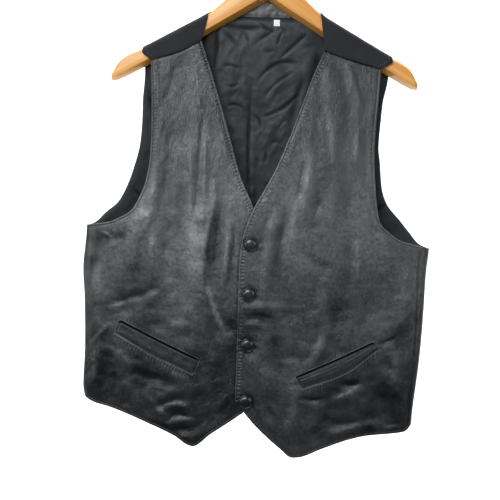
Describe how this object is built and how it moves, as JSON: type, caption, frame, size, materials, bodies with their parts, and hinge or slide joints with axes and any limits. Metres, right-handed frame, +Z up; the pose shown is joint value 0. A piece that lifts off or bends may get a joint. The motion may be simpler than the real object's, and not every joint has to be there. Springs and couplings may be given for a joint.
{
  "type": "leather vest on a wooden hanger",
  "caption": "Hip-length waistcoat with leather fronts, deep V neck, welt pockets, domed snaps and a cloth back, hanging on a flat wooden hanger.",
  "frame": {"origin": "inside of the crown of the hanger's hook, where a rail or wall hook carries it", "axes": "+Z up, along the hook's pull; the vest's front faces -Y and the wearer's left side is at +X"},
  "size_m": [0.4991, 0.0624, 0.7545],
  "materials": {
    "front_leather": "thin black sheep leather, softly worn to grey on its ridges, satin sheen",
    "back_cloth": "black satin-weave back cloth, low sheen",
    "lining_cloth": "black lining satin, crumpled, low sheen",
    "facing_leather": "grey wrinkled leather band inside the back neck",
    "label_tape": "plain white woven tape",
    "snap_enamel": "glossy black enamel on a domed steel cap",
    "hanger_wood": "clear-lacquered light wood, satin",
    "hook_steel": "plain polished steel wire"
  },
  "bodies": {
    "root": {"front_left": "front_leather", "front_right": "front_leather", "pocket_welt_left": "front_leather", "pocket_welt_right": "front_leather", "back": "back_cloth", "back_lining": "lining_cloth", "back_neck_facing": "facing_leather", "neck_label": "label_tape", "snap_cap_1": "snap_enamel", "snap_cap_2": "snap_enamel", "snap_cap_3": "snap_enamel", "snap_cap_4": "snap_enamel", "hanger_wood": "hanger_wood", "hanger_hook": "hook_steel"}
  },
  "joints": []
}
